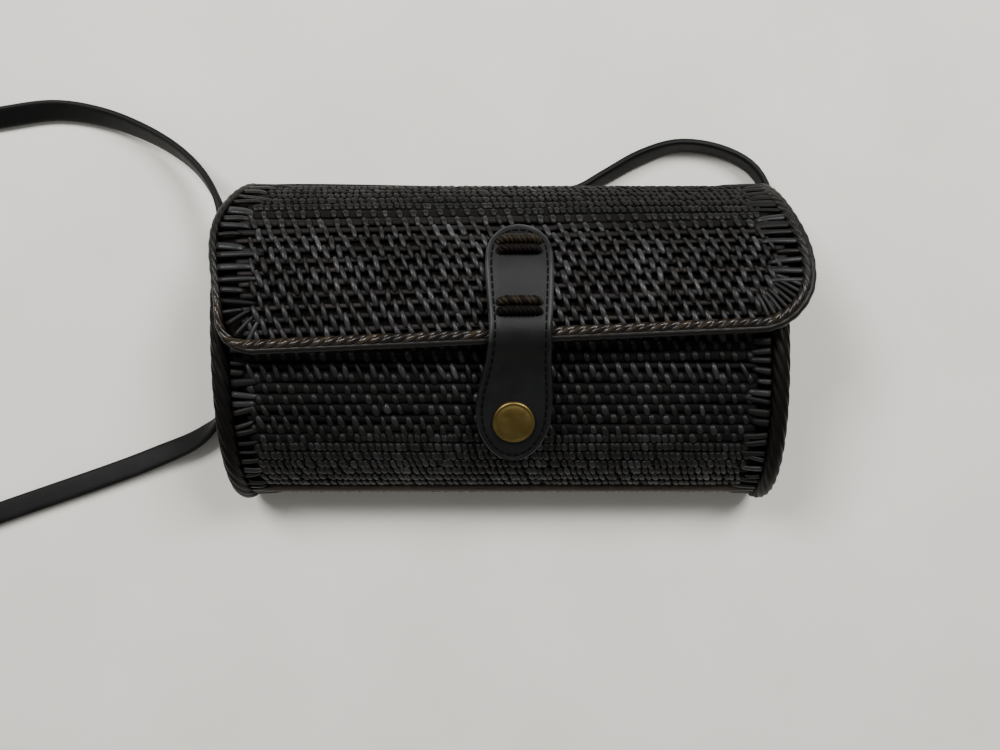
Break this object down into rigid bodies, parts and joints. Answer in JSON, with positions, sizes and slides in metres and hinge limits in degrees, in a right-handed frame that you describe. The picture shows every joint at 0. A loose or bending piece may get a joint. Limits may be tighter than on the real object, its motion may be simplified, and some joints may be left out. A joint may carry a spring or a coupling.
{
  "type": "straw satchel",
  "caption": "Half-round woven straw satchel with a stiff lid, leather snap tab and narrow leather shoulder strap, lying on its flat back.",
  "frame": {"origin": "on the plane the bag lies on, under the middle of the bag's own box without its strap", "axes": "+X along the bag to its right, +Y from its base to its top, +Z from its flat back to its front"},
  "size_m": [0.4926, 0.1952, 0.0684],
  "materials": {
    "woven_straw": "dark dyed grass, satin",
    "rim_straw": "dark brown braided grass, satin",
    "tab_leather": "smooth black leather, satin",
    "strap_leather": "folded black leather, satin",
    "lashing_cord": "twisted brown cord",
    "brass": "antique, satin"
  },
  "bodies": {
    "root": {"body_shell": "woven_straw", "end_panel_left": "woven_straw", "end_panel_right": "woven_straw", "end_rim_left": "rim_straw", "end_rim_right": "rim_straw", "lid": "woven_straw", "lid_rim": "rim_straw", "hinge_band": "woven_straw", "tab": "tab_leather", "lashing_top_upper": "lashing_cord", "lashing_top_lower": "lashing_cord", "lashing_bottom_upper": "lashing_cord", "lashing_bottom_lower": "lashing_cord", "snap_cap": "brass", "snap_stud": "brass", "strap": "strap_leather", "strap_rivet_left": "brass", "strap_rivet_right": "brass"}
  },
  "joints": []
}
